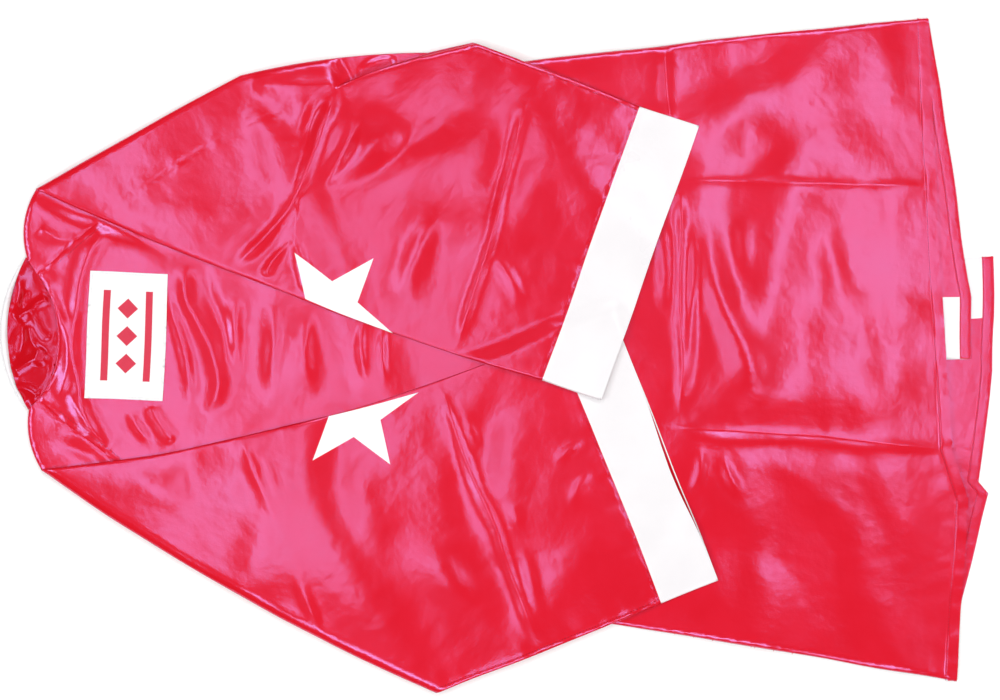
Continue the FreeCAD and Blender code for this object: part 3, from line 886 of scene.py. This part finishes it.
def bumped(tree, height, strength, distance, normal=None):
    bump = node(tree, "ShaderNodeBump", Strength=strength, Distance=distance)
    join(height, bump, "Height")
    if normal is not None:
        join(normal, bump, "Normal")
    return bump.outputs["Normal"]


def clouds(tree, vector, scale, detail, rough=0.5):
    """Noise over a surface, as a value."""
    made = node(tree, "ShaderNodeTexNoise", Scale=scale, Detail=detail, Roughness=rough)
    join(vector, made, "Vector")
    return made.outputs["Fac"]


def satin(name, deep, light, heading=0.0, tint=PINK_SHINE, gloss=(0.16, 0.22), specular=0.9):
    """Satin weave: floats along one direction, a soft coloured shine, slight unevenness."""
    material, tree, shader = new_material(name)
    place = mapped(tree, heading)
    patches = clouds(tree, place, 14.0, 3.0, 0.55)
    slubs = clouds(tree, place, 55.0, 3.0)
    threads = clouds(tree, mapped(tree, heading, (180.0, 1500.0, 180.0)), 1.0, 2.0, 0.6)
    join(colour_mix(tree, patches, deep, light), shader, "Base Color")
    join(ranged(tree, patches, *gloss), shader, "Roughness")
    normal = bumped(tree, slubs, 0.35, 1.2 * MM)
    normal = bumped(tree, threads, 0.25, 0.12 * MM, normal)
    join(normal, shader, "Normal")
    socket(shader, Specular_IOR_Level=specular, IOR=1.62, Specular_Tint=(*tint, 1))
    return material


def plain_weave(name, first, second, scale=1400.0, rough=0.75):
    """A matt woven or printed surface with crossing threads."""
    material, tree, shader = new_material(name)
    place = mapped(tree)
    mottle = clouds(tree, place, 90.0, 3.0)
    join(colour_mix(tree, mottle, first, second), shader, "Base Color")
    join(ranged(tree, mottle, rough - 0.1, rough + 0.1), shader, "Roughness")
    warp = node(tree, "ShaderNodeTexWave", Scale=scale, Distortion=0.4)
    weft = node(tree, "ShaderNodeTexWave", Scale=scale, Distortion=0.4)
    weft.bands_direction = "Y"
    for wave in (warp, weft):
        join(place, wave, "Vector")
    both = node(tree, "ShaderNodeMath")
    both.operation = "MULTIPLY"
    join(warp.outputs["Fac"], both, 0)
    join(weft.outputs["Fac"], both, 1)
    join(bumped(tree, both.outputs[0], 0.4, 0.2 * MM), shader, "Normal")
    return material


RED = ((0.68, 0.002, 0.005), (0.77, 0.004, 0.012))
MATERIALS = {
    "body": satin("satin_red_body", *RED),
    "right": satin("satin_red_right", *RED, HEADING["right"]),
    "left": satin("satin_red_left", *RED, HEADING["left"]),
    # The lining's base colours are darker than the body's red: painted shade for the hollows of the
    # collar, also used inside the cuffs.
    "lining": satin("satin_red_lining_painted_shade", (0.52, 0.001, 0.003), (0.66, 0.002, 0.007), 30, PINK_SHINE,
                   (0.16, 0.22), 0.45),
    "white": satin("satin_white", (0.80, 0.77, 0.79), (0.87, 0.85, 0.86), 0.0, (1.0, 0.96, 0.98),
                   (0.24, 0.34), 0.5),
    "label": plain_weave("label_weave", (0.86, 0.86, 0.86), (0.93, 0.93, 0.93)),
    "print_white": plain_weave("print_white", (0.88, 0.88, 0.88), (0.95, 0.95, 0.95), rough=0.5),
    "print_red": plain_weave("print_red", (0.62, 0.014, 0.050), (0.72, 0.024, 0.070), rough=0.55),
    "thread_red": plain_weave("thread_red", (0.34, 0.004, 0.016), (0.50, 0.009, 0.034), 2600.0),
    "thread_white": plain_weave("thread_white", (0.80, 0.80, 0.80), (0.90, 0.90, 0.90), 2600.0),
    "floor": plain_weave("floor_paper", (0.95, 0.95, 0.95), (0.97, 0.97, 0.97), 60.0, 0.9),
}


# --- pieces


def finish_piece(piece, material, node_name, body="robe"):
    """Gives a piece its material and slot and its body, and hides the CAD node that it stands for.
    """
    piece.data.materials.append(MATERIALS[material])
    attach(piece, body)
    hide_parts(node_name)


def declare(node_name):
    """Reads a node's outline; nothing is done with it."""
    line = outline(node_name)


def declare_strip(node_name):
    """Reads a narrow node's outline; nothing is done with it."""
    line = outline(node_name)


def body_sheets():
    """The back panel and the shoulder caps, which meet at the raglan seams."""
    names = ("back_panel", "right_shoulder_cap", "left_shoulder_cap")
    rims = [*BODY_RIMS, HEM_LINE, HEM_LINE - np.array([HEM_WIDTH, 0]), NECKLINE,
            *fold_lines(BODY_CREASES)]
    xy, faces = patchwork({n: outline(n) for n in names}, 4 * MM, rims)
    points = with_height(xy, body_top(xy))
    faces = {n: upward(points, f) for n, f in faces.items()}
    normals = vertex_normals(points, np.concatenate(list(faces.values())))
    back = new_object("back_panel_cloth", points, faces["back_panel"], normals)
    finish_piece(back, "body", "back_panel")
    declare("back_panel")
    for side in SIDES:
        name = f"{side}_shoulder_cap"
        borders = cap_rim(side)
        under = eased(LOWEST, EDGE_LEVEL, nearest_of(xy, borders), EDGE_REACH)
        cap = tube(f"{name}_cloth", xy, faces[name], points[:, 2], under, borders, normals)
        finish_piece(cap, "body", name)
        declare(name)


def front_height(side):
    level = {"right": RIGHT_FRONT, "left": LEFT_FRONT}[side]
    seed = {"right": 101, "left": 107}[side]
    return lambda xy: level + np.maximum(ripples(xy, seed, 0.28, 80), -0.5 * MM)


def front_sheets():
    """Each front panel with its white band, lying with its inner face up."""
    for side in SIDES:
        names = (f"{side}_front_panel", f"{side}_front_band")
        xy, faces = patchwork({n: outline(n) for n in names}, 6 * MM)
        points = with_height(xy, front_height(side)(xy))
        for name, material in zip(names, ("body", "white")):
            piece = new_object(f"{name}_cloth", points, upward(points, faces[name]))
            finish_piece(piece, material, name)
            declare(name)


def trimmed(xy, faces, nodes, margin=0.0):
    """The faces that lie inside the outline of any of the nodes, by a margin at least."""
    middle = xy[faces].mean(axis=1)
    return faces[np.max([depth_inside(middle, outline(n)) for n in nodes], axis=0) > margin]


def hem_sheets(side):
    return [f"{side}_front_panel", f"{side}_front_band"]


# Each turned hem: the sheets that it is sewn on, and its upper surface.
HEMS = {
    "right_front_hem": (hem_sheets("right"), lambda xy: front_height("right")(xy) + HEM_RAISE),
    "left_front_hem": (hem_sheets("left"), lambda xy: front_height("left")(xy) + HEM_RAISE),
    "back_hem": (["back_panel"], lambda xy: body_top(xy) - 0.25 * MM),
}


def hem_strips():
    """The turned hems: a raised strip on each front, and one under the back panel's edge."""
    for name, (sheets, top) in HEMS.items():
        line = outline(name)
        rim = [np.concatenate([line, line[:1]])]
        xy, faces = patchwork({name: line}, 4 * MM, rim, (0.4 * MM, 0.9 * MM))
        edge = edge_profile(to_segments(xy, line, closed=True)[0], 0.8 * MM)
        points = with_height(xy, top(xy) - 0.7 * MM * (1 - edge))
        kept = trimmed(xy, faces[name], sheets)
        piece = new_object(f"{name}_strip", points, upward(points, kept))
        finish_piece(piece, "body", name)
        declare_strip(name)


def sleeve_sheets(side):
    """A folded sleeve, the roll of slack cloth outside its fold line, its cuff and its star."""
    sleeve, roll, cuff, star = (f"{side}_{n}" for n in ("sleeve", "shoulder_fold", "cuff",
                                                        "sleeve_star"))
    rims = sleeve_rims(side)
    contour = fold_contour(side)
    regions = {star: outline(star), sleeve: outline(sleeve), cuff: outline(cuff),
               roll: contour}
    fine = [*rims, contour, MARKS[side]["mouth"], *fold_lines(CREASES[side])]
    if side == "right":
        fine.append(UPPER_EDGE)
    xy, faces = patchwork(regions, 3.6 * MM, fine)
    top, bottom = TOP[side](xy), BOTTOM[side](xy)
    bottom = folded_under(xy, top, bottom, rims)
    upper = with_height(xy, top)
    normals = vertex_normals(upper, upward(upper, np.concatenate(list(faces.values()))))
    printed = faces[star]
    faces[sleeve] = np.concatenate([faces[sleeve], printed])
    arm = f"{side}_arm"
    pull = mouth_pull(side, xy)
    for name, material in ((sleeve, side), (cuff, "white")):
        piece = tube(f"{name}_cloth", xy, faces[name], top, bottom, rims, normals, pull)
        finish_piece(piece, material, name, arm)
        declare(name)
    lining(side, xy, faces[cuff], top, bottom, rims, pull)
    shoulder_roll(side, xy, faces[roll], top, contour, normals)
    for part, height, lift in (("", top, PRINT), ("_back", bottom, -PRINT)):
        points = with_height(xy, height + lift)
        ink = new_object(f"{star}{part}_ink", points, upward(points, printed))
        finish_piece(ink, "print_white", star, arm)


def mouth_pull(side, xy):
    """How the left cuff's upper sheet is drawn back from its mouth, which bares the lining."""
    distance, _, along = to_segments(xy, MARKS[side]["mouth"])
    amount = 5.5 * MM * np.sin(np.pi * np.clip((along - 0.2) / 0.8, 0, 1)) ** 2
    amount *= 1 - smooth(distance / (30 * MM))
    return (amount * (side == "left"))[:, None] * MARKS[side]["back"]


def folded_under(xy, top, bottom, rims):
    """The lower sheet's height, brought half-way to the upper sheet at the folded edges."""
    return eased(bottom, (top + bottom) / 2, nearest_of(xy, rims), EDGE_REACH)


def lining(side, xy, faces, top, bottom, rims, pull):
    """The red lining inside a cuff, set a little back from the mouth."""
    from_mouth = to_segments(xy, MARKS[side]["mouth"])[0]
    kept = faces[(from_mouth[faces] > 1.5 * MM).all(axis=1)]
    inset = np.minimum(0.5 * MM, 0.25 * np.maximum(top - bottom, 0))
    upright = np.tile([0.0, 0.0, 1.0], (len(xy), 1))
    piece = tube(f"{side}_cuff_lining_cloth", xy, kept, top - inset, bottom + inset, rims, upright,
                 pull)
    finish_piece(piece, "lining", f"{side}_cuff_lining", f"{side}_arm")
    declare(f"{side}_cuff")


def shoulder_roll(side, xy, faces, top, contour, normals):
    """The slack roll of cloth outside a sleeve's fold line, with a mesh of its own."""
    bottom = eased(LOWEST, ROLL_LEVEL, to_segments(xy, contour)[0], 9 * MM)
    piece = tube(f"{side}_shoulder_fold_cloth", xy, faces, top, bottom, [contour], normals)
    name = f"{side}_shoulder_fold"
    finish_piece(piece, side, name)
    declare(name)
    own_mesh(piece)


PATCH_LIFT = 1.1 * MM
PATCH_REACH = 9 * MM  # how far round each point the stiff label evens out the cloth below
PATCH_ROW = np.array([0.94, 0.964])  # its row of stitching, as shares of its size in x and y


def label():
    """The label on the upper back, with a plain pattern where a name would be."""
    patch = outline("name_patch")
    prints = {f"print{k}": line for k, line in enumerate(loops("name_patch_print"))}
    xy, faces = patchwork({**prints, "patch": patch}, 3 * MM)
    points = with_height(xy, patch_height(xy))
    whole = upward(points, np.concatenate(list(faces.values())))
    piece = new_object("name_patch_cloth", points, whole)
    finish_piece(piece, "label", "name_patch")
    declare("name_patch")
    ink = upward(points, np.concatenate([faces[n] for n in prints]))
    printed = new_object("name_patch_print_ink", points + np.array([0, 0, PRINT]), ink)
    finish_piece(printed, "print_red", "name_patch_print")
    row = np.concatenate([patch, patch[:1]])
    centre = patch.mean(axis=0)
    row = centre + (row - centre) * PATCH_ROW
    stitches("name_patch_stitching", row, patch_height, "thread_white", lift=0.1 * MM)


def patch_height(xy):
    """The label is stiffer than the satin, so it bridges the small wrinkles below."""
    total = np.zeros(len(xy))
    for angle in range(0, 360, 45):
        push = np.array([math.cos(math.radians(angle)), math.sin(math.radians(angle))])
        total += body_top(xy + PATCH_REACH * push)
    return total / 8 + PATCH_LIFT


# A stitch's corners as shares of its run, its width and its rise, and the faces between them.
STITCH = np.array([(0, 0, 0), (1, 0, 0), (0.5, 0.5, 0), (0.5, -0.5, 0), (0.22, 0, 0.8),
                   (0.78, 0, 0.8)])
STITCH_FACES = np.array([(0, 3, 4), (0, 4, 2), (1, 5, 3), (1, 2, 5), (3, 5, 4), (2, 4, 5),
                         (0, 2, 3), (1, 3, 2)])
STITCH_LENGTH, STITCH_GAP = 3.0 * MM, 1.2 * MM
STITCH_WIDTH, STITCH_RISE = 0.95 * MM, 0.6 * MM
RAGLAN_ROW = 9.4 * MM  # from a raglan seam to its stitching, which starts beside the collar
RAGLAN_ROW_START = -0.584


def stitches(node_name, line, height, material="thread_red", body="robe", lift=0.05 * MM):
    """A row of stitches along a line on a surface, each a small raised bead of thread."""
    reach = np.concatenate([[0.0], np.cumsum(np.linalg.norm(np.diff(line, axis=0), axis=1))])
    starts = np.arange(STITCH_GAP, reach[-1] - STITCH_LENGTH, STITCH_LENGTH + STITCH_GAP)
    tail, head = (np.stack([np.interp(at, reach, line[:, k]) for k in (0, 1)], axis=1)
                  for at in (starts, starts + STITCH_LENGTH))
    run = head - tail
    across = np.stack([-run[:, 1], run[:, 0]], axis=1) / STITCH_LENGTH
    xy = tail[:, None] + run[:, None] * STITCH[None, :, :1]
    xy = (xy + across[:, None] * STITCH[None, :, 1:2] * STITCH_WIDTH).reshape(-1, 2)
    z = height(xy) + lift + np.tile(STITCH[:, 2], len(tail)) * STITCH_RISE
    faces = np.arange(len(tail))[:, None, None] * len(STITCH) + STITCH_FACES[None]
    piece = new_object(f"{node_name}_thread", with_height(xy, z), faces.reshape(-1, 3))
    finish_piece(piece, material, node_name, body)


def body_stitching():
    """The rows along the back's hem, the neckline and the raglan seams."""
    stitches("back_hem_stitching", HEM_LINE - np.array([HEM_ROW, 0]), body_top)
    for side, away in (("right", -RAGLAN_ROW), ("left", RAGLAN_ROW)):
        seam = RAGLAN[side]
        seam = seam if seam[0][0] < seam[-1][0] else seam[::-1]
        line = seam[seam[:, 0] > RAGLAN_ROW_START] + np.array([0, away])
        stitches(f"{side}_raglan_stitching", line, body_top)
    stitches("neckline_stitching", NECKLINE + np.array([0.8 * MM, 0]), body_top)


def front_stitching(side):
    """The row along a front's hem, which follows the hem strip's outer edge."""
    strip, top = outline(f"{side}_front_hem"), HEMS[f"{side}_front_hem"][1]
    outer = strip[strip[:, 0] > strip[:, 0].min() + 12 * MM]
    line = outer[np.argsort(outer[:, 1])] - np.array([HEM_ROW, 0])
    line = line[depth_inside(line, strip) > -1 * MM] + np.array([1 * MM, 0])
    stitches(f"{side}_front_hem_stitching", line, top)


def sleeve_stitching(side):
    """The row across a sleeve at its cuff, and the row along its underarm seam."""
    marks = MARKS[side]
    inward = marks["inward"] * 4 * MM
    ends = marks["seam"] + np.array([inward, -inward]) + marks["back"] * 2.4 * MM
    under = marks["underarm"] + marks["inward"] * 6 * MM
    for name, line in (("cuff_stitching", ends), ("underarm_seam", under)):
        stitches(f"{side}_{name}", spaced(line, 20 * MM), TOP[side], body=f"{side}_arm")


COLLAR_ENDS = ((-0.612, 0.131), (-0.609, -0.070))


def collar_edge(node_name, beside):
    """The stretch of a collar piece's outline between the collar's ends, past a point."""
    return stretch_of(node_name, *(nearest_corner(node_name, p) for p in COLLAR_ENDS), beside)


def gathered(xy, outer):
    """The height of the gathered lining between the neckline and its outer edge."""
    to_inner, _, along = to_segments(xy, NECKLINE)
    share = to_inner / np.maximum(to_inner + to_segments(xy, outer)[0], 1e-6)
    gathers = noise(np.stack([along * 0.175, share * 0.03], axis=1), 9 * MM, 157)
    folds = creases(xy, LINING_CREASES) + 0.7 * MM * noise(xy, 24 * MM, 153)
    folds += 0.6 * MM * gathers * (1 - smooth(share / 0.4))
    level = (8.0 - 3.5 * smooth(share * 1.2)) * MM
    z = np.minimum(level + folds * smooth((to_inner - 1 * MM) / (6 * MM)), 12.5 * MM)
    return higher(z, np.full(len(xy), 1.2 * MM), 2.0 * MM)


def collar():
    """The gathered collar lining and the white collar outside it."""
    xy, faces = patchwork({"lining": outline("collar_lining")}, 1.8 * MM)
    points = with_height(xy, gathered(xy, collar_edge("collar_lining", (-0.637, 0.032))))
    piece = new_object("collar_lining_cloth", points, upward(points, faces["lining"]))
    finish_piece(piece, "lining", "collar_lining")
    declare("collar_lining")
    band = outline("collar_band")
    rim = [collar_edge("collar_band", (-0.647, 0.032))]
    xy, faces = patchwork({"band": band}, 2 * MM, rim, (0.5 * MM, 1.2 * MM))
    rise = edge_profile(to_segments(xy, band, closed=True)[0], EDGE_REACH)
    wave = 1 * MM * noise(xy, 18 * MM, 163)
    middle = 4.5 * MM
    piece = tube("collar_band_cloth", xy, faces["band"], middle + (4 * MM + wave) * rise,
                 middle - 3.9 * MM * rise, rim)
    finish_piece(piece, "white", "collar_band")
    declare_strip("collar_band")


def side_seams():
    """The felled seams inside the robe's sides, between the fronts and the back."""
    for side in SIDES:
        name = f"{side}_side_seam"
        xy, faces = patchwork({name: outline(name)}, 5 * MM)
        points = with_height(xy, np.minimum(body_top(xy) - 0.9 * MM, 4.2 * MM))
        kept = trimmed(xy, faces[name], ["back_panel"], 3.5 * MM)
        piece = new_object(f"{name}_cloth", points, upward(points, kept))
        finish_piece(piece, "body", name)


# --- stage, light and camera


def stage():
    mesh = bpy.data.meshes.new("floor")
    mesh.from_pydata([(-20, -20, 0), (20, -20, 0), (20, 20, 0), (-20, 20, 0)], [], [(0, 1, 2, 3)])
    floor = placed("floor", mesh)
    mesh.materials.append(MATERIALS["floor"])
    floor.location.z = -0.3 * MM


CAMERA_PLACE = (3.25 * MM, 7.8 * MM, 2.8)
VIEW_WIDTH = 1.300
SENSOR = 36.0
ROOM_LIGHT = 0.13

# Softboxes above the camera: place (x, y), width and depth in metres, turn in degrees, radiance.
CEILING = 3.3
SOFTBOXES = [
    ((-1.02, 0.10), (0.32, 1.85), 14, 6.0),
    ((-0.34, -0.06), (0.22, 1.55), -12, 5.6),
    ((1.05, 0.34), (0.34, 1.40), 14, 6.4),
    ((-0.30, -2.55), (2.60, 1.10), 6, 8.2),
    ((0.30, 2.65), (2.60, 1.10), -6, 8.2),
    ((2.95, -0.20), (1.10, 2.40), -8, 8.2),
    ((-3.00, -0.20), (1.10, 2.40), 10, 8.2),
]


def softbox(number, place, size, turn, radiance):
    light = bpy.data.lights.new(f"softbox_{number}", "AREA")
    light.shape = "RECTANGLE"
    light.size, light.size_y = size
    light.energy = radiance * math.pi * size[0] * size[1]
    lamp = placed(light.name, light)
    lamp.location = (*place, CEILING)
    lamp.rotation_euler = (0, 0, math.radians(turn))


def light_and_camera():
    world = bpy.data.worlds.new("room")
    bpy.context.scene.world = world
    world.use_nodes = True
    world.node_tree.nodes["Background"].inputs["Color"].default_value = (1, 1, 1, 1)
    world.node_tree.nodes["Background"].inputs["Strength"].default_value = ROOM_LIGHT
    for number, box in enumerate(SOFTBOXES):
        softbox(number, *box)
    camera = bpy.data.cameras.new("camera")
    camera.sensor_width = SENSOR
    camera.lens = SENSOR * (CAMERA_PLACE[2] - BACK) / VIEW_WIDTH
    eye = placed("camera", camera)
    eye.location = CAMERA_PLACE
    bpy.context.scene.camera = eye
    bpy.context.scene.view_settings.view_transform = "Standard"


body_sheets()
front_sheets()
hem_strips()
side_seams()
collar()
for side in SIDES:
    sleeve_sheets(side)
label()
body_stitching()
for side in SIDES:
    front_stitching(side)
    sleeve_stitching(side)
stage()
light_and_camera()
